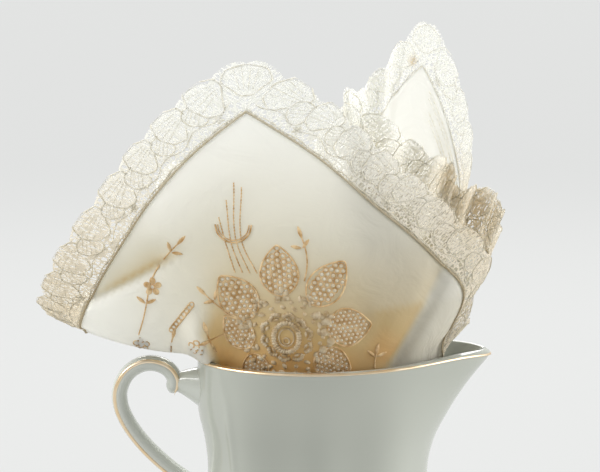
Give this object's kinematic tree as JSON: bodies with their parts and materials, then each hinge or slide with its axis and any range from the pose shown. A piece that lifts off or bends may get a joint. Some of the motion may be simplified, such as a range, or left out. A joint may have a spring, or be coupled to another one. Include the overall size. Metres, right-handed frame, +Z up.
{
  "type": "embroidered handkerchief in a porcelain jug",
  "caption": "Square embroidered handkerchief with a lace edging, tucked by its centre into a plain porcelain jug so that its corners fan out above the rim.",
  "frame": {"origin": "middle of the jug's flat base, on the surface that it stands on", "axes": "+Z up, +X towards the spout, -X towards the handle, -Y towards the front corner of the handkerchief"},
  "size_m": [0.1634, 0.1053, 0.2141],
  "materials": {
    "cotton_lawn": "sheer plain-woven cream cotton with tan embroidery",
    "cotton_lace": "machine lace on fine net, cream",
    "porcelain": "glossy white glaze with a gilt line on the rim and handle"
  },
  "bodies": {
    "root": {"handkerchief": "cotton_lawn", "lace_edging": "cotton_lace", "jug": "porcelain"}
  },
  "joints": []
}
